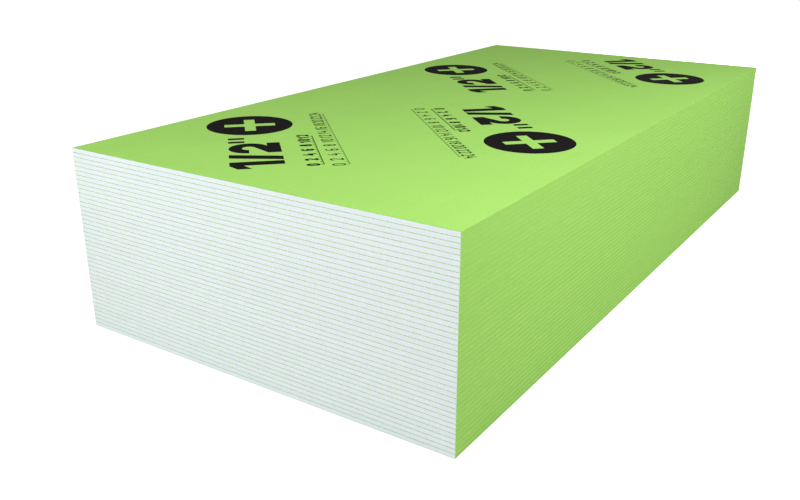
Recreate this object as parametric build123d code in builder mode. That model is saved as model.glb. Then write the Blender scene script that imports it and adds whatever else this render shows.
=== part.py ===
"""A squared-up stack of glass-mat drywall sheets, lying face up.

Each sheet is a gypsum core between two facing mats. The face mat covers the top, wraps both long edges and
folds under as a lap. The back mat closes the underside over those laps and stops short of the edges. The two
short ends are saw cuts, so core and mats show there. Lengths are millimetres. The origin is the middle of the
stack's underside, X runs across the sheets, Y along them and Z up.
"""

import os

from build123d import *

# Sheet and stack: 4 ft by 8 ft by half an inch, and 42 sheets high
sheet_width = 1219.2
sheet_length = 2438.4
sheet_thickness = 12.7
sheet_count = 42

# Facing mats
mat_thickness = 0.65
lap_width = 25.0
back_mat_margin = 6.0

# The wrapped long edges are rounded at the face and folded square at the back
edge_radius = 1.5

# Heights in one sheet, measured from its back
lap_underside = mat_thickness
lap_top = 2 * mat_thickness
core_top = sheet_thickness - mat_thickness

# Widths in one sheet
core_width = sheet_width - 2 * mat_thickness
between_laps = sheet_width - 2 * lap_width
back_mat_width = sheet_width - 2 * back_mat_margin

# The saw cut at the near end, where every section is drawn
near_end = Plane.XZ.offset(sheet_length / 2)


def strip(width, low, high, mode=Mode.ADD):
    """A rectangle of the section, centred across the sheet, from one height to another."""
    with Locations((0, (low + high) / 2)):
        Rectangle(width, high - low, mode=mode)


def rounded_strip(width, low, high, radius):
    """A strip whose two upper corners are rounded."""
    with BuildSketch(mode=Mode.PRIVATE) as section:
        strip(width, low, high)
        fillet(section.vertices().group_by(Axis.Y)[-1], radius)
    return section.sketch


# The outside of the wrapped face mat, and the room inside it that the core fills
outside_the_wrap = rounded_strip(sheet_width, lap_underside, sheet_thickness, edge_radius)
inside_the_wrap = rounded_strip(core_width, lap_top, core_top, edge_radius - mat_thickness)

# Gypsum core: rebated under both long edges for the laps, and flat between them
with BuildPart() as gypsum_core:
    with BuildSketch(near_end):
        add(inside_the_wrap)
        strip(between_laps, lap_underside, lap_top)
    extrude(amount=-sheet_length)

# Face mat: over the top, round both long edges and folded under as laps
with BuildPart() as face_mat:
    with BuildSketch(near_end):
        add(outside_the_wrap)
        add(inside_the_wrap, mode=Mode.SUBTRACT)
        strip(between_laps, lap_underside, lap_top, mode=Mode.SUBTRACT)
    extrude(amount=-sheet_length)

# Back mat: flat, over the core and both laps
with BuildPart() as back_mat:
    with BuildSketch(near_end):
        strip(back_mat_width, 0, lap_underside)
    extrude(amount=-sheet_length)


def height_of(sheet):
    """The height of a sheet's back above the floor, counting the lowest sheet as 1."""
    return (sheet - 1) * sheet_thickness


def stacked(piece, sheets):
    """Copies of one sheet's piece, in their places in the stack."""
    with BuildPart() as copies:
        with Locations(*[(0, 0, height_of(sheet)) for sheet in sheets]):
            add(piece)
    return copies.part


all_sheets = range(1, sheet_count + 1)
os.makedirs("parts", exist_ok=True)

# Every core is a node of its own, numbered from the floor up
for sheet in all_sheets:
    core = stacked(gypsum_core.part, [sheet])
    core.label = f"gypsum_core_{sheet:02d}"
    export_step(core, f"parts/{core.label}.step")

# The facing mats share two nodes: no face mat touches another, and no back mat does
for mats, piece in (("face_mats", face_mat.part), ("back_mats", back_mat.part)):
    shared = stacked(piece, all_sheets)
    shared.label = mats
    export_step(shared, f"parts/{mats}.step")
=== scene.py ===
"""Dresses a squared-up stack of drywall sheets for a studio picture.

The frame gives the gypsum cores, the face mats and the back mats. This script gives them their finishes,
prints roller marks on the top sheet's face mat, and sets the floor, the lamps and the camera. Lengths are
metres. The origin is the middle of the stack's underside, X runs across the sheets, Y along them and Z up.
"""

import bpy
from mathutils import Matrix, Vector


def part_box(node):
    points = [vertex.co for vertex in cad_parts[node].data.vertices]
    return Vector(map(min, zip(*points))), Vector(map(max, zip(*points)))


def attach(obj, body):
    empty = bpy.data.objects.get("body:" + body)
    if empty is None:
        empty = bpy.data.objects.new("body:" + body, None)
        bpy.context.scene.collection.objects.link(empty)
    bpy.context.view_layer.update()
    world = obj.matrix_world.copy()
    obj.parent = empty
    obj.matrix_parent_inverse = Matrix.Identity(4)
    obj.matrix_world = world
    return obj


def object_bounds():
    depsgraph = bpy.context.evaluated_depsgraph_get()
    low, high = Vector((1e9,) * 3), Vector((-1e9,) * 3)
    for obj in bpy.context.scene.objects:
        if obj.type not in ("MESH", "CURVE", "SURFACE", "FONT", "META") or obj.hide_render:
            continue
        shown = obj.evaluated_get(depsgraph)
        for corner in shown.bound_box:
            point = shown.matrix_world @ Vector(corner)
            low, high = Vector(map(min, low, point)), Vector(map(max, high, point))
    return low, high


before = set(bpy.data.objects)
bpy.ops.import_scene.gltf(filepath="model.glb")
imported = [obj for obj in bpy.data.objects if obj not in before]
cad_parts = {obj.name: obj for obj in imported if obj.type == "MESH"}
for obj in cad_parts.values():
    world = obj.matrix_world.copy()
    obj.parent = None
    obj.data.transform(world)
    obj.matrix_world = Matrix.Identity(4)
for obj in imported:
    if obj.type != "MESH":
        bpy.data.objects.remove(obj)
cad_box = [list(corner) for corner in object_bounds()]

import math
from functools import reduce

import bpy
import numpy as np
from bpy.props import FloatProperty, FloatVectorProperty, PointerProperty
from mathutils import Vector

bl_info = {
    "name": "Drywall stack",
    "version": (1, 0, 0),
    "blender": (4, 5, 0),
    "location": "3D View > Sidebar > Drywall",
    "description": "Finishes, roller prints and a studio for a stack of drywall sheets",
    "category": "Object",
}

# The stack, as the frame gives it. The lowest core lies on its back mat.
CORES = sorted(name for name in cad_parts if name.startswith("gypsum_core"))
HALF_WIDTH = cad_box[1][0]
HALF_LENGTH = cad_box[1][1]
STACK_HEIGHT = cad_box[1][2]
SHEET_THICKNESS = STACK_HEIGHT / len(CORES)
MAT_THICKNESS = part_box(CORES[0])[0].z


class SheetColours(bpy.types.PropertyGroup):
    """The colours of the sheets and of the print on them."""

    mat: FloatVectorProperty(
        name="Facing mat",
        description="Green coating of both mats",
        subtype="COLOR",
        default=(0.39, 0.72, 0.155),
        min=0,
        max=1,
    )
    # Partly real wear and partly painted highlight: a paler green along the long edges that lifts the joints'
    # shade
    arris: FloatVectorProperty(
        name="Rubbed arris",
        description="Paler coating along the wrapped long edges",
        subtype="COLOR",
        default=(0.505, 0.82, 0.208),
        min=0,
        max=1,
    )
    # Partly the cut mat's own deeper green and partly painted shade of the grooves between the sheets
    cut: FloatVectorProperty(
        name="Cut mat",
        description="Deeper green of both mats where the saw cuts them",
        subtype="COLOR",
        default=(0.26, 0.61, 0.045),
        min=0,
        max=1,
    )
    core: FloatVectorProperty(
        name="Gypsum core",
        description="Chalky white of the saw cut",
        subtype="COLOR",
        default=(0.825, 0.888, 0.911),
        min=0,
        max=1,
    )
    ink: FloatVectorProperty(
        name="Roller ink",
        description="Black of the printed marks",
        subtype="COLOR",
        default=(0.0095, 0.0075, 0.0082),
        min=0,
        max=1,
    )


class PrintSizes(bpy.types.PropertyGroup):
    """The sizes of the marks printed on the top sheet."""

    thickness_height: FloatProperty(
        name="Thickness height",
        description="Height of the sheet's thickness in inches, printed as a fraction",
        subtype="DISTANCE",
        default=0.14,
        min=0.05,
    )
    thickness_weight: FloatProperty(
        name="Thickness weight",
        description="Width of the fraction's strokes, as a share of its height",
        subtype="FACTOR",
        default=0.257,
        min=0.05,
        max=0.26,
    )
    disc: FloatProperty(
        name="Fastener mark",
        description="Diameter of the disc that a fastener may be driven through",
        subtype="DISTANCE",
        default=0.256,
        min=0.02,
    )
    plus_length: FloatProperty(
        name="Plus length",
        description="Length of each bar of the plus left open in the disc",
        subtype="DISTANCE",
        default=0.15,
        min=0.01,
    )
    plus_width: FloatProperty(
        name="Plus width",
        description="Width of each bar of the plus left open in the disc",
        subtype="DISTANCE",
        default=0.032,
        min=0.002,
    )
    inch: FloatProperty(
        name="Inch",
        description="Distance from one inch of a rule to the next",
        subtype="DISTANCE",
        default=0.0254,
        min=0.01,
    )
    numeral_height: FloatProperty(
        name="Numeral height",
        description="Height of the numerals along the rules",
        subtype="DISTANCE",
        default=0.036,
        min=0.005,
    )
    ink_height: FloatProperty(
        name="Ink height",
        description="How far the ink stands above the mat",
        subtype="DISTANCE",
        default=0.00005,
        min=0.00001,
        precision=6,
    )


class StudioSettings(bpy.types.PropertyGroup):
    """The camera's lens and the surroundings."""

    lens: FloatProperty(
        name="Lens",
        description="Focal length on a sensor 36 mm wide",
        subtype="DISTANCE_CAMERA",
        default=39.4,
        min=10,
    )
    sky: FloatProperty(
        name="Sky",
        description="Strength of the even white light from all round",
        default=0.35,
        min=0,
    )
    floor: FloatVectorProperty(
        name="Floor",
        description="Colour of the floor",
        subtype="COLOR",
        default=(0.6, 0.6, 0.6),
        min=0,
        max=1,
    )


# Noise seldom leaves this range
NOISE_LOW = 0.3
NOISE_HIGH = 0.7

# What is left of the gloss on mat, gypsum, ink and floor
FAINT_GLOSS = 0.01


class NodeBench:
    """Adds nodes to a node tree. A value fed to a node is a number, a colour or another node's output."""

    def __init__(self, tree):
        self.nodes = tree.nodes
        self.links = tree.links

    def add(self, kind, inputs=None, **settings):
        """A new node with these settings, fed with these inputs."""
        node = self.nodes.new(kind)
        for name, value in settings.items():
            setattr(node, name, value)
        for name, value in (inputs or {}).items():
            self.feed(node.inputs[name], value)
        return node

    def feed(self, socket, value):
        """Links an output to a socket, or sets the socket to a constant."""
        if isinstance(value, bpy.types.NodeSocket):
            self.links.new(value, socket)
        else:
            socket.default_value = value

    def maths(self, operation, *values):
        """The result of a sum on one, two or three values."""
        node = self.add("ShaderNodeMath", operation=operation)
        for socket, value in zip(node.inputs, values):
            self.feed(socket, value)
        return node.outputs[0]

    def spread(self, value, low, high, start=0.0, end=1.0, curve="LINEAR"):
        """A value's range from low to high, carried over to start to end and held there."""
        inputs = {"Value": value, "From Min": low, "From Max": high, "To Min": start, "To Max": end}
        return self.add("ShaderNodeMapRange", inputs, interpolation_type=curve).outputs[0]

    def product(self, *values):
        """Two or more values, multiplied."""
        return reduce(lambda first, second: self.maths("MULTIPLY", first, second), values)

    def noise(self, place, size, detail=2.0, turn=0.0):
        """Noise with blotches of this size along each axis of the place, after a turn about the third."""
        inputs = {"Vector": place, "Rotation": (0, 0, turn), "Scale": [1 / length for length in size]}
        blotches = self.add("ShaderNodeMapping", inputs)
        inputs = {"Vector": blotches.outputs[0], "Scale": 1.0, "Detail": detail}
        return self.add("ShaderNodeTexNoise", inputs).outputs[0]

    def tone(self, noise, darkest, lightest):
        """Noise, carried over to a factor between these two."""
        return self.spread(noise, NOISE_LOW, NOISE_HIGH, darkest, lightest)

    def mix(self, share, first, second):
        """Two colours, mixed by the second's share."""
        inputs = {"Factor": share, "A": first, "B": second}
        return self.add("ShaderNodeMix", inputs, data_type="RGBA").outputs["Result"]

    def scaled(self, colour, tone):
        """A colour, made darker or lighter by a factor."""
        node = self.add("ShaderNodeVectorMath", operation="SCALE")
        self.feed(node.inputs[0], colour[:3] if isinstance(colour, tuple) else colour)
        self.feed(node.inputs["Scale"], tone)
        return node.outputs[0]

    def seen(self):
        """1 on camera, glossy and transmission rays, and 0 on the rays that only carry light."""
        ray = self.add("ShaderNodeLightPath").outputs
        direct = self.maths("MAXIMUM", ray["Is Camera Ray"], ray["Is Glossy Ray"])
        return self.maths("MAXIMUM", direct, ray["Is Transmission Ray"])


class Finish(NodeBench):
    """A procedural material in the making, on a piece's own coordinates."""

    def __init__(self, name):
        self.material = bpy.data.materials.new(name)
        self.material.use_nodes = True
        super().__init__(self.material.node_tree)
        self.shader = self.nodes["Principled BSDF"]
        self.place = self.add("ShaderNodeTexCoord").outputs["Object"]
        self.x, self.y, self.z = self.add("ShaderNodeSeparateXYZ", {"Vector": self.place}).outputs

    def at_face(self, coordinate, reach, depth, skin):
        """1 within a skin of the two faces that lie this reach from the middle, and 0 beyond the depth."""
        return self.spread(self.maths("ABSOLUTE", coordinate), reach - depth, reach - skin)

    def matt(self, colour, roughness):
        """Feeds the shader with a colour, almost without gloss."""
        self.feed(self.shader.inputs["Base Color"], colour)
        self.shader.inputs["Roughness"].default_value = roughness
        self.shader.inputs["Specular IOR Level"].default_value = FAINT_GLOSS

    def raised(self, height, relief):
        """Raises the surface by relief metres where height is 1."""
        bump = self.add("ShaderNodeBump", {"Strength": 1.0, "Distance": relief, "Height": height})
        self.feed(self.shader.inputs["Normal"], bump.outputs["Normal"])


def opaque(colour):
    """A colour with full alpha, as a colour socket takes it."""
    return (*colour, 1.0)


# Sizes of the mat's and the ink's patterns: across the sheet, along it and from one sheet to the next
FIBRES = (0.0008, 0.02, 1.0)
CLOUDS = (0.16, 0.24, 1.0)
COATING_STREAKS = (0.009, 0.9, 1.0)
COATING_GRAIN = (0.0012, 0.0012, 1.0)
# Patches of the paler arris, which is partly wear and partly painted highlight
PALE_ARRIS_PATCHES = (0.004, 0.03, 1.0)
THIN_INK = (0.012, 0.012, 1.0)
PINHOLES = (0.0012, 0.0012, 1.0)

# The fibres' directions in degrees, and their relief as a share of the coating grain's
FIBRE_DIRECTIONS = (15, 75, 135)
FIBRE_RELIEF = 0.6

# Sizes of the saw cut's patterns along X, Y and Z, and pores to the metre
TORN_MAT = (0.003, 0.003, 0.003)
DUST = (0.005, 0.005, 0.002)
MOTTLING = (0.006, 0.006, 0.004)
SAW_STREAKS = (0.0035, 0.05, 0.05)
CHALK = (0.0009, 0.0009, 0.0009)
PORES = 650.0

# Heights are read this much lower, so that a sheet's top face isn't taken for the next sheet's
READ_LOWER = 0.0005

# How deep under the long sides the paler arris, partly wear and partly painted highlight, starts, and where
# it is full
PALE_ARRIS_DEPTH = (0.0022, 0.0004)

# How far from a joint the paler arris is full, and where it ends
PALE_ARRIS_FROM_JOINT = (0.0006, 0.0028)

# How far under the stack's top the paler arris is full, and where it ends
PALE_ARRIS_UNDER_TOP = (0.005, 0.003)

# Up to this height the paler arris is strongest, and from there it fades to the least at the stack's top;
# this fade is painted highlight
PALEST_UP_TO = 0.4 * STACK_HEIGHT
LEAST_PALE = 0.35

# How deep under the saw cut its colour starts, and where it is full
CUT_DEPTH = (0.0005, 0.0001)

# The mats' green turns into the soaked laps' white this far on each side of the flat mats' inner faces
SOAKED_EDGE = 0.00005


def sheet_at(finish, z):
    """The number of the sheet at a height: the height over a sheet's thickness, rounded down."""
    return finish.maths("FLOOR", finish.maths("DIVIDE", z, SHEET_THICKNESS))


def from_joint(finish):
    """How far a place is from the nearest joint, or from the stack's top or underside."""
    return finish.maths("PINGPONG", finish.z, SHEET_THICKNESS / 2)


def unrolled(finish):
    """The mat's own plane: across the sheet and on down its wrapped edge, along the sheet, and a step for
    each sheet. Down an edge the first coordinate goes on growing by the drop from the top, away from the
    middle."""
    drop = finish.maths("SUBTRACT", STACK_HEIGHT, finish.z)
    across = finish.maths("MULTIPLY_ADD", finish.maths("SIGN", finish.x), drop, finish.x)
    sheet = sheet_at(finish, finish.maths("SUBTRACT", finish.z, READ_LOWER))
    return finish.add("ShaderNodeCombineXYZ", {"X": across, "Y": finish.y, "Z": sheet}).outputs[0]


def fibres(finish, plane):
    """Glass fibres: noise drawn out along three directions, of which the strongest shows at each point."""
    turns = [math.radians(direction) for direction in FIBRE_DIRECTIONS]
    layers = [finish.noise(plane, FIBRES, detail=1.0, turn=turn) for turn in turns]
    strongest = reduce(lambda first, second: finish.maths("MAXIMUM", first, second), layers)
    return finish.spread(strongest, low=0.56, high=0.74)


def rubbing(finish, plane):
    """How far the coating turns pale, from 0 to 1: along the wrapped edges, next to the joints, in
    patches, most in the lower sheets, and not round the top sheet's upper edges. This is partly wear and
    partly painted highlight, which lifts the joints' shade; the fade towards the top is painted highlight."""
    at_joint = finish.spread(from_joint(finish), *PALE_ARRIS_FROM_JOINT, 1.0, 0.0, "SMOOTHSTEP")
    at_side = finish.at_face(finish.x, HALF_WIDTH, *PALE_ARRIS_DEPTH)
    full, none = [STACK_HEIGHT - depth for depth in PALE_ARRIS_UNDER_TOP]
    under_sheet = finish.spread(finish.z, full, none, 1.0, 0.0)
    # Painted highlight: the paler arris fades with height towards the stack's top
    height_fade = finish.spread(finish.z, PALEST_UP_TO, STACK_HEIGHT, 1.0, LEAST_PALE)
    patches = finish.spread(finish.noise(plane, PALE_ARRIS_PATCHES, detail=3.0), 0.35, 0.65, start=0.25)
    return finish.product(at_joint, at_side, under_sheet, height_fade, patches)


def sawn_mat(finish, colours):
    """The mats where the saw cut them: a torn, uneven green with specks of dust, deeper than the face's
    green, partly the cut mat's own colour and partly painted shade of the grooves between the sheets. Wraps
    and laps, which lie further from a joint than the flat mats, are soaked with gypsum and almost as white
    as the core."""
    torn = finish.spread(finish.noise(finish.place, TORN_MAT), 0.35, 0.65, start=0.65, end=1.3)
    dust = finish.spread(finish.noise(finish.place, DUST), 0.5, 0.65, end=0.08)
    dry, wet = MAT_THICKNESS - SOAKED_EDGE, MAT_THICKNESS + SOAKED_EDGE
    soaked = finish.spread(from_joint(finish), dry, wet, end=0.8)
    white = finish.maths("MAXIMUM", dust, soaked)
    # The deeper cut green carries painted shade of the joints' grooves as well as the mat's own cut edge
    return finish.mix(white, finish.scaled(opaque(colours.cut), torn), opaque(colours.core))


def mat_finish(name, colours):
    """Coated glass mat: cloudy, faintly streaked along the sheet and fibrous, with paler arrises, partly wear
    and partly painted highlight, and its own look, partly painted shade, where the saw cut it."""
    finish = Finish(name)
    plane = unrolled(finish)
    strands = fibres(finish, plane)
    tone = finish.product(
        finish.tone(finish.noise(plane, CLOUDS, detail=3.0), darkest=0.985, lightest=1.015),
        finish.tone(finish.noise(plane, COATING_STREAKS), darkest=0.99, lightest=1.01),
        finish.spread(strands, 0, 1, start=0.985, end=1.06),
    )
    # Paler arris next to the joints: partly wear, partly painted highlight
    colour = finish.mix(rubbing(finish, plane), opaque(colours.mat), opaque(colours.arris))
    at_cut = finish.at_face(finish.y, HALF_LENGTH, *CUT_DEPTH)
    # Cut ends: mat colour partly painted shade of the joints' grooves
    colour = finish.mix(at_cut, colour, sawn_mat(finish, colours))
    finish.matt(finish.scaled(colour, tone), roughness=0.9)
    grain = finish.noise(plane, COATING_GRAIN)
    finish.raised(finish.maths("MULTIPLY_ADD", strands, FIBRE_RELIEF, grain), relief=0.00006)
    return finish.material


def core_finish(name, colours):
    """Foamed gypsum: a tone for each sheet, faint mottling, upright saw streaks, and pores, which are sunk by
    a bump and darkened with painted shade."""
    finish = Finish(name)
    sheet = sheet_at(finish, finish.z)
    cast = finish.add("ShaderNodeTexWhiteNoise", {"W": sheet}, noise_dimensions="1D").outputs["Value"]
    pores = finish.add("ShaderNodeTexVoronoi", {"Vector": finish.place, "Scale": PORES})
    pits = finish.spread(pores.outputs["Distance"], low=0.12, high=0.3)
    tone = finish.product(
        finish.spread(cast, 0, 1, start=0.985, end=1.01),
        finish.tone(finish.noise(finish.place, MOTTLING, detail=3.0), darkest=0.97, lightest=1.02),
        finish.tone(finish.noise(finish.place, SAW_STREAKS, detail=3.0), darkest=0.985, lightest=1.012),
        # Painted shade: the pores are darker, as shade inside them
        finish.spread(pits, 0, 1, start=0.93, end=1.003),
    )
    finish.matt(finish.scaled(opaque(colours.core), tone), roughness=0.95)
    chalk = finish.noise(finish.place, CHALK, detail=3.0)
    finish.raised(finish.maths("ADD", pits, chalk), relief=0.0001)
    return finish.material


def ink_finish(name, colours):
    """Roller ink: matt black, thin in small blotches and broken by pinholes that show the mat."""
    finish = Finish(name)
    plane = unrolled(finish)
    thin = finish.spread(finish.noise(plane, THIN_INK, detail=4.0), 0.5, 0.75, end=0.006)
    pinholes = finish.spread(finish.noise(plane, PINHOLES, detail=1.0), 0.74, 0.8, end=0.4)
    bare = finish.maths("MAXIMUM", thin, pinholes)
    finish.matt(finish.mix(bare, opaque(colours.ink), opaque(colours.mat)), roughness=0.85)
    finish.raised(fibres(finish, plane), relief=0.00004)
    return finish.material


def dress(names, material):
    """Gives these nodes of the frame one material."""
    for name in names:
        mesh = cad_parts[name].data
        mesh.materials.clear()
        mesh.materials.append(material)


# Where the marks of a print lie, from the middle of half a sheet: u along the reading direction, v up from it
THICKNESS_AT = (-0.146, 0.375)
DISC_AT = (0.181, 0.378)
SHORT_RULE_AT = (-0.15, 0.231)
LONG_RULE_AT = (-0.008, 0.167)

# The two directions that the prints are read in, turned from X
READING_ANGLES = (math.radians(-45), math.radians(135))

# The rules' lengths in inches
SHORT_RULE_INCHES = 12
LONG_RULE_INCHES = 24

# The rules' numerals, as shares of their height: the stroke in the short rule and in the long one, the gap
# between two numerals, and a numeral's width, to which half a stroke is added
BOLD = 0.24
LIGHT = 0.14
NUMERAL_GAP = 0.1
NUMERAL_SPAN = 0.45

# Strokes take turns at these shares of the ink's height, so that a numeral's two strokes share no plane
INK_LAYERS = (1.0, 0.9)

# Stations along the bowl of the large 2, and along a rounded corner
BOWL_STATIONS = 40
CORNER_STATIONS = 7

# Rays over the end of a bar of the plus, and from there to the next bar
BAR_END_RAYS = 4
BETWEEN_BARS_RAYS = 31

# Points of a centre line nearer than this are one
SAME_POINT = 1e-9

# Vertices of the ink nearer than this are welded
WELDED_WITHIN = 1e-6


def laid_on_sheet(points, height):
    """Mark points (u, v), with a height above the mat for each, laid in the four prints: two halves of the
    sheet, and two reading directions in each. A point is the half's middle plus u along the reading direction
    and v square to it."""
    angle = np.tile(READING_ANGLES, 2)[:, None, None]
    middle = np.repeat((-HALF_LENGTH / 2, HALF_LENGTH / 2), 2)[:, None, None]
    u, v = points[..., 0], points[..., 1]
    x = u * np.cos(angle) - v * np.sin(angle)
    y = u * np.sin(angle) + v * np.cos(angle) + middle
    z = np.broadcast_to(STACK_HEIGHT + height, x.shape)
    return np.stack([x, y, z], axis=-1)


def shells(left, right, ink_height):
    """An ink stroke in all four prints, as closed shells. The surface is a function of the station along the
    stroke and the corner round its section, which is a rectangle from the left edge to the right edge and
    from the ink's top down into the mat. Edges that return to their start make a ring. Returns vertices and
    quads."""
    ring = np.allclose(left[0], left[-1])
    if ring:
        left, right = left[:-1], right[:-1]
    section = np.stack([left, right, right, left], axis=1)
    height = np.array([ink_height, ink_height, -ink_height, -ink_height])
    vertices = laid_on_sheet(section, height)
    prints, stations = vertices.shape[:2]
    station = np.arange(stations if ring else stations - 1)[:, None]
    corner = np.arange(4)[None, :]
    ahead = (station + 1) % stations
    turned = (corner + 1) % 4
    quad = [station * 4 + corner, station * 4 + turned, ahead * 4 + turned, ahead * 4 + corner]
    faces = np.stack(quad, axis=-1).reshape(-1, 4)
    if not ring:
        ends = [[3, 2, 1, 0], list(range(4 * stations - 4, 4 * stations))]
        faces = np.concatenate([faces, ends])
    first = np.arange(prints)[:, None, None] * stations * 4
    return vertices.reshape(-1, 3), (faces + first).reshape(-1, 4)


def printed(name, strokes, ink_height, material):
    """One object of ink strokes on the top sheet. A stroke is its left and its right edge, in mark points."""
    layers = [INK_LAYERS[place % len(INK_LAYERS)] for place in range(len(strokes))]
    made = [shells(left, right, ink_height * layer) for (left, right), layer in zip(strokes, layers)]
    vertices = np.concatenate([points for points, quads in made])
    firsts = np.cumsum([0] + [len(points) for points, quads in made[:-1]])
    faces = np.concatenate([quads + first for (points, quads), first in zip(made, firsts)])
    mesh = bpy.data.meshes.new(name)
    mesh.from_pydata(vertices.tolist(), [], faces.tolist())
    mesh.materials.append(material)
    piece = bpy.data.objects.new(name, mesh)
    bpy.context.scene.collection.objects.link(piece)
    weld = piece.modifiers.new("weld", "WELD")
    weld.merge_threshold = WELDED_WITHIN
    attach(piece, "root")


def moved(strokes, place):
    """Strokes, moved to a place."""
    return [(left + place, right + place) for left, right in strokes]


def bar(left, right, low, high):
    """A rectangle's left and right edges, for a stroke that runs up it."""
    return np.array([(left, low), (left, high)]), np.array([(right, low), (right, high)])


def bold_one(height, width):
    """The edges of a 1, a slanting flag and then the stem, and how wide it is. The width is the stroke's."""
    flag = 0.92 * width
    drop = 0.6 * flag
    right_edge = [(0, height - drop - width), (flag, height - width), (flag, height - width), (flag, 0)]
    left_edge = [(0, height - drop), (flag, height), (flag + width, height), (flag + width, 0)]
    return np.array(left_edge), np.array(right_edge), flag + width


def bold_two(height, width):
    """The edges of a 2, a bowl, a diagonal and a base bar, and how wide it is. The bowl is an arc about its
    centre, and ends where the straight diagonal that touches it there brings its inner edge to the base
    bar's upper left corner. Its outer edge meets the bar in the notch. That takes a height of 3.84 strokes or
    more."""
    outer = 1.5 * width
    middle = outer - width / 2
    inner = outer - width
    centre = np.array([outer, height - outer])
    rise = centre[1] - width
    lean = math.acos((width / 2 - middle) / math.hypot(outer, rise)) - math.atan2(rise, outer)
    turn = np.linspace(math.pi, -lean, BOWL_STATIONS)
    ray = np.stack([np.cos(turn), np.sin(turn)], axis=-1)
    span = 2 * outer
    notch = (width / math.cos(lean), width)
    base_left = [notch, notch, (span, width)]
    base_right = [(0, width), (0, 0), (span, 0)]
    left_edge = np.concatenate([centre + outer * ray, base_left])
    right_edge = np.concatenate([centre + inner * ray, base_right])
    return left_edge, right_edge, span


def fraction_strokes(height, weight):
    """The edges of every stroke of 1/2 and its inch mark, set side by side and centred on the origin. The
    weight is the stroke's width as a share of the height."""
    width = weight * height
    one_left, one_right, one_span = bold_one(height, width)
    two_left, two_right, two_span = bold_two(height, width)
    gap = 0.25 * width
    slant = 0.9 * width
    slash = bar(0, width, 0, height)
    for edge in slash:
        edge[1, 0] += slant
    tick, tick_foot = 0.55 * width, 0.68 * height
    glyphs = [
        ([(one_left, one_right)], one_span),
        ([slash], slant + width),
        ([(two_left, two_right)], two_span),
        ([bar(start, start + tick, tick_foot, height) for start in (0, 2 * tick)], 3 * tick),
    ]
    total = sum(span for strokes, span in glyphs) + gap * (len(glyphs) - 1)
    placed = []
    start = -total / 2
    for strokes, span in glyphs:
        placed += moved(strokes, (start, -height / 2))
        start += span + gap
    return placed


def disc_edges(diameter, plus_length, plus_width):
    """The inner and outer edges of a disc left open as a plus. The outer edge is a circle. Along each ray the
    inner edge is as far out as the further of the two bars, and a bar reaches to the nearer of its end and
    its side. A quarter's last ray is left out, because it is the next quarter's first."""
    end, side = plus_length / 2, plus_width / 2
    corner = math.atan2(side, end)
    over_end = np.linspace(-corner, corner, BAR_END_RAYS)
    to_next_bar = np.linspace(corner, math.pi / 2 - corner, BETWEEN_BARS_RAYS)
    quarter = np.unique([*over_end, *to_next_bar])[:-1]
    turn = np.concatenate([quarter + step * math.pi / 2 for step in range(4)])
    across, up = np.abs(np.cos(turn)), np.abs(np.sin(turn))
    with np.errstate(divide="ignore"):
        level_bar = np.minimum(end / across, side / up)
        upright_bar = np.minimum(side / across, end / up)
    ray = np.stack([np.cos(turn), np.sin(turn)], axis=-1)
    inner = np.maximum(level_bar, upright_bar)[:, None] * ray
    outer = diameter / 2 * ray
    return np.concatenate([inner, inner[:1]]), np.concatenate([outer, outer[:1]])


def arc(corner, before, after, radius):
    """The arc that rounds a corner between the points before and after it. Its rays turn evenly from the
    first point of touch to the last: a ray is both of those rays, each weighted by the sine of the turn to
    the other, over the sine of the whole turn."""
    back, ahead = [(end - corner) / np.linalg.norm(end - corner) for end in (before, after)]
    half = math.acos(back @ ahead) / 2
    centre = corner + (back + ahead) / np.linalg.norm(back + ahead) * radius / math.sin(half)
    first, last = [corner + side * radius / math.tan(half) - centre for side in (back, ahead)]
    turn = math.pi - 2 * half
    share = np.linspace(0, 1, CORNER_STATIONS)[:, None]
    return centre + (np.sin((1 - share) * turn) * first + np.sin(share * turn) * last) / math.sin(turn)


def rounded(corners):
    """A centre line through corners, each with its rounding. A ring returns to its first point. A point on
    top of the one before it is left out."""
    ring = corners[0] == corners[-1]
    used = corners[:-1] if ring else corners
    points = np.array([corner[:2] for corner in used], dtype=float)
    line = []
    for index, (across, up, radius) in enumerate(used):
        here, before, after = points[index], points[index - 1], points[(index + 1) % len(points)]
        line.append(arc(here, before, after, radius) if radius else here[None, :])
    line = np.concatenate(line + [line[0][:1]] if ring else line)
    apart = np.linalg.norm(np.diff(line, axis=0), axis=1) > SAME_POINT
    return line[np.append(True, apart)]


def pen(line, width):
    """The edges of a stroke of even width along a centre line. At each point both edges stand off along the
    mitre: the sum of the normals on its two sides, over one plus their product."""
    runs = np.diff(line, axis=0)
    runs /= np.linalg.norm(runs, axis=1)[:, None]
    normals = np.stack([-runs[:, 1], runs[:, 0]], axis=-1)
    ring = np.allclose(line[0], line[-1])
    before = np.concatenate([normals[-1:] if ring else normals[:1], normals])
    after = np.concatenate([normals, normals[:1] if ring else normals[-1:]])
    mitre = (before + after) / (1 + np.sum(before * after, axis=1))[:, None] * width / 2
    return line + mitre, line - mitre


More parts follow.
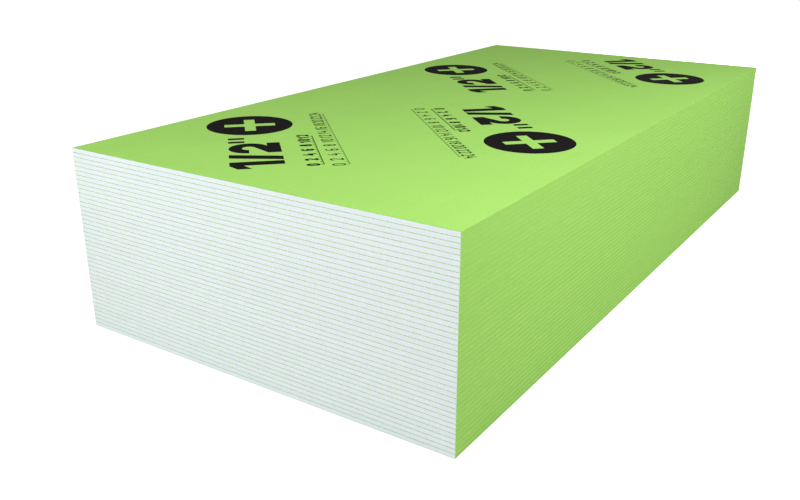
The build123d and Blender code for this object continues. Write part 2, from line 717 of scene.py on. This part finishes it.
def numeral_lines(span, height, width):
    """The centre lines of the rules' numerals, for strokes of this width. A corner is across, up and its
    rounding, and a ring returns to its first corner."""
    left, right = width / 2, span - width / 2
    foot, top = width / 2, height - width / 2
    bend = (right - left) / 2
    waist, crossbar = 0.54 * height, 0.36 * height
    stem, peak = 0.62 * span, height - 0.87 * width

    def ring(low, high, inset=0.0):
        near, far = left + inset, right - inset
        turn = min(far - near, high - low) / 2
        return [(near, low, turn), (far, low, turn), (far, high, turn), (near, high, turn), (near, low, turn)]

    throat = (right, 0.6 * height, 0.3 * height)
    bowl = [(left, 0.7 * height, 0), (left, top, bend), (right, top, bend), throat]
    return {
        "0": [ring(foot, top)],
        "1": [[(stem - 1.2 * width, peak - 0.7 * width, 0), (stem, peak, 0), (stem, 0, 0)]],
        "2": [[*bowl, (0.8 * width, foot, 0), (span, foot, 0)]],
        "4": [
            [(0.5 * span, 0.98 * height, 0), (left, crossbar, 0), (span - width, crossbar, 0)],
            [(right, 0.62 * height, 0), (right, 0, 0)],
        ],
        "6": [ring(foot, waist), [(left, waist / 2, 0), (left, top, bend), (0.92 * span, top, 0)]],
        "8": [ring(foot, waist), ring(waist, top, 0.08 * bend)],
    }


def number_strokes(number, height, weight):
    """The edges of a number's strokes, centred over the origin and standing on it. The weight is the stroke's
    width as a share of the height."""
    width = weight * height
    span = NUMERAL_SPAN * height + width / 2
    pitch = span + NUMERAL_GAP * height
    lines = numeral_lines(span, height, width)
    numerals = str(number)
    strokes = []
    for position, numeral in enumerate(numerals):
        start = (position - (len(numerals) - 1) / 2) * pitch - span / 2
        strokes += [pen(rounded(corners) + (start, 0), width) for corners in lines[numeral]]
    return strokes


def rule_strokes(inches, inch, height, weight):
    """The edges of a rule's line, its ticks and the number over every second inch, centred on the origin. A
    tick stands on the line at each half inch, and the ticks of whole inches are longer. The line runs on past
    the outer ticks. The weight is the numerals' stroke as a share of their height, and the ticks and the line
    grow with it."""
    width = 0.7 * weight * inch
    line = width / 2
    inch_tick, half_inch_tick = 0.32 * inch, 0.18 * inch
    lift = 0.4 * inch
    foot = -0.5 * (height + lift)
    end = 0.5 * inches * inch + width
    strokes = [bar(-end, end, foot, foot + line)]
    for half_inch in range(2 * inches + 1):
        middle = (half_inch - inches) * inch / 2
        tick = half_inch_tick if half_inch % 2 else inch_tick
        strokes.append(bar(middle - width / 2, middle + width / 2, foot + line, foot + tick))
        if half_inch % 4 == 0:
            strokes += moved(number_strokes(half_inch // 2, height, weight), (middle, foot + lift))
    return strokes


class DRYWALL_OT_gypsum_cores(bpy.types.Operator):
    """Give every gypsum core its chalky saw-cut finish"""

    bl_idname = "drywall.gypsum_cores"
    bl_label = "Gypsum cores"

    def execute(self, context):
        dress(CORES, core_finish("gypsum_core", context.scene.drywall_colours))
        return {"FINISHED"}


class DRYWALL_OT_facing_mats(bpy.types.Operator):
    """Give the face mats and the back mats their coated glass-mat finish"""

    bl_idname = "drywall.facing_mats"
    bl_label = "Facing mats"

    def execute(self, context):
        dress(["face_mats", "back_mats"], mat_finish("facing_mat", context.scene.drywall_colours))
        return {"FINISHED"}


class DRYWALL_OT_printed_marks(bpy.types.Operator):
    """Print the thickness, the fastener marks and the rules on the top sheet"""

    bl_idname = "drywall.printed_marks"
    bl_label = "Printed marks"

    def execute(self, context):
        sizes = context.scene.drywall_print
        ink = ink_finish("print_ink", context.scene.drywall_colours)

        fraction = fraction_strokes(sizes.thickness_height, sizes.thickness_weight)
        printed("thickness_numerals", moved(fraction, THICKNESS_AT), sizes.ink_height, ink)

        disc = [disc_edges(sizes.disc, sizes.plus_length, sizes.plus_width)]
        printed("fastener_marks", moved(disc, DISC_AT), sizes.ink_height, ink)

        short_rule = rule_strokes(SHORT_RULE_INCHES, sizes.inch, sizes.numeral_height, BOLD)
        long_rule = rule_strokes(LONG_RULE_INCHES, sizes.inch, sizes.numeral_height, LIGHT)
        rules = moved(short_rule, SHORT_RULE_AT) + moved(long_rule, LONG_RULE_AT)
        printed("inch_rules", rules, sizes.ink_height, ink)
        return {"FINISHED"}


# The floor's reach each way from the stack's middle, how far it lies under the stack, and its own glow
FLOOR_REACH = 40.0
FLOOR_DROP = 0.0002
FLOOR_GLOW = 0.8

# The camera, fitted to the photograph, with its sensor's width in millimetres
CAMERA_PLACE = (1.4228, -2.6490, 1.1204)
CAMERA_LOOKS_DOWN = math.radians(20.88)
CAMERA_HEADING = math.radians(33.86)
SENSOR_WIDTH = 36.0

# The point in the stack that every lamp aims at
LAMPS_AIM_AT = Vector((0.2, -0.3, 0.3))


def softbox(name, heading, height, distance, size, power):
    """A lamp that the camera doesn't see, aimed at the stack. The heading is in degrees clockwise from above:
    0 is in front of the near end, and 90 is to the right. The height is in degrees above the floor, and the
    size is the lamp's width and its height."""
    turn, lift = math.radians(heading), math.radians(height)
    outward = Vector((math.sin(turn) * math.cos(lift), -math.cos(turn) * math.cos(lift), math.sin(lift)))
    place = distance * outward
    lamp = bpy.data.lights.new(name, "AREA")
    lamp.shape = "RECTANGLE"
    lamp.size, lamp.size_y = size
    lamp.energy = power
    holder = bpy.data.objects.new(name, lamp)
    holder.location = place
    holder.rotation_euler = (LAMPS_AIM_AT - place).to_track_quat("-Z", "Y").to_euler()
    holder.visible_camera = False
    bpy.context.scene.collection.objects.link(holder)


def surroundings(sky):
    """An even sky, which looks white."""
    world = bpy.data.worlds.new("studio")
    world.use_nodes = True
    bench = NodeBench(world.node_tree)
    background = world.node_tree.nodes["Background"]
    background.inputs["Color"].default_value = (1, 1, 1, 1)
    bench.feed(background.inputs["Strength"], bench.spread(bench.seen(), 0, 1, sky, 1.0))
    return world


def studio_floor(colour):
    """A square of floor, just under the stack. It looks white, but for the stack's shadow."""
    corners = np.array([(-1, -1, 0), (1, -1, 0), (1, 1, 0), (-1, 1, 0)]) * FLOOR_REACH - (0, 0, FLOOR_DROP)
    mesh = bpy.data.meshes.new("studio_floor")
    mesh.from_pydata(corners.tolist(), [], [(0, 1, 2, 3)])
    finish = Finish("studio_floor")
    finish.matt(opaque(colour), roughness=0.9)
    finish.shader.inputs["Emission Color"].default_value = (1, 1, 1, 1)
    finish.feed(finish.shader.inputs["Emission Strength"], finish.product(finish.seen(), FLOOR_GLOW))
    mesh.materials.append(finish.material)
    floor = bpy.data.objects.new("studio_floor", mesh)
    bpy.context.scene.collection.objects.link(floor)


def camera(lens):
    """The camera, at the photograph's place and angle."""
    lens_settings = bpy.data.cameras.new("camera")
    lens_settings.sensor_width = SENSOR_WIDTH
    lens_settings.lens = lens
    holder = bpy.data.objects.new("camera", lens_settings)
    holder.location = CAMERA_PLACE
    holder.rotation_euler = (math.radians(90) - CAMERA_LOOKS_DOWN, 0.0, CAMERA_HEADING)
    bpy.context.scene.collection.objects.link(holder)
    return holder


class DRYWALL_OT_studio(bpy.types.Operator):
    """Set the floor, the lamps, the white surroundings and the camera"""

    bl_idname = "drywall.studio"
    bl_label = "Studio"

    def execute(self, context):
        settings = context.scene.drywall_studio
        context.scene.world = surroundings(settings.sky)
        studio_floor(settings.floor)
        softbox("corner_softbox", heading=55, height=42, distance=2.2, size=(1.4, 1.4), power=12.0)
        softbox("end_softbox", heading=350, height=30, distance=4.0, size=(2.0, 2.0), power=59.8)
        softbox("side_softbox", heading=112, height=40, distance=2.6, size=(1.6, 1.6), power=19.0)
        softbox("far_end_fill", heading=179, height=5, distance=5.0, size=(3.0, 0.8), power=80)
        softbox("far_side_fill", heading=270, height=5, distance=5.0, size=(3.0, 0.8), power=80)
        context.scene.camera = camera(settings.lens)
        context.scene.view_settings.view_transform = "Standard"
        return {"FINISHED"}


SETTINGS = {"drywall_colours": SheetColours, "drywall_print": PrintSizes, "drywall_studio": StudioSettings}
OPERATORS = (DRYWALL_OT_gypsum_cores, DRYWALL_OT_facing_mats, DRYWALL_OT_printed_marks, DRYWALL_OT_studio)


class DRYWALL_PT_stack(bpy.types.Panel):
    """The stack's settings and a button for each operator"""

    bl_idname = "DRYWALL_PT_stack"
    bl_label = "Drywall stack"
    bl_space_type = "VIEW_3D"
    bl_region_type = "UI"
    bl_category = "Drywall"

    def draw(self, context):
        for name, group in SETTINGS.items():
            box = self.layout.box()
            for setting in group.__annotations__:
                box.prop(getattr(context.scene, name), setting)
        for operator in OPERATORS:
            self.layout.operator(operator.bl_idname)


CLASSES = (*SETTINGS.values(), *OPERATORS, DRYWALL_PT_stack)


def register():
    for each in CLASSES:
        bpy.utils.register_class(each)
    for name, group in SETTINGS.items():
        setattr(bpy.types.Scene, name, PointerProperty(type=group))


def unregister():
    for name in SETTINGS:
        delattr(bpy.types.Scene, name)
    for each in reversed(CLASSES):
        bpy.utils.unregister_class(each)


def main():
    register()
    bpy.ops.drywall.gypsum_cores()
    bpy.ops.drywall.facing_mats()
    bpy.ops.drywall.printed_marks()
    bpy.ops.drywall.studio()


if __name__ == "__main__":
    main()
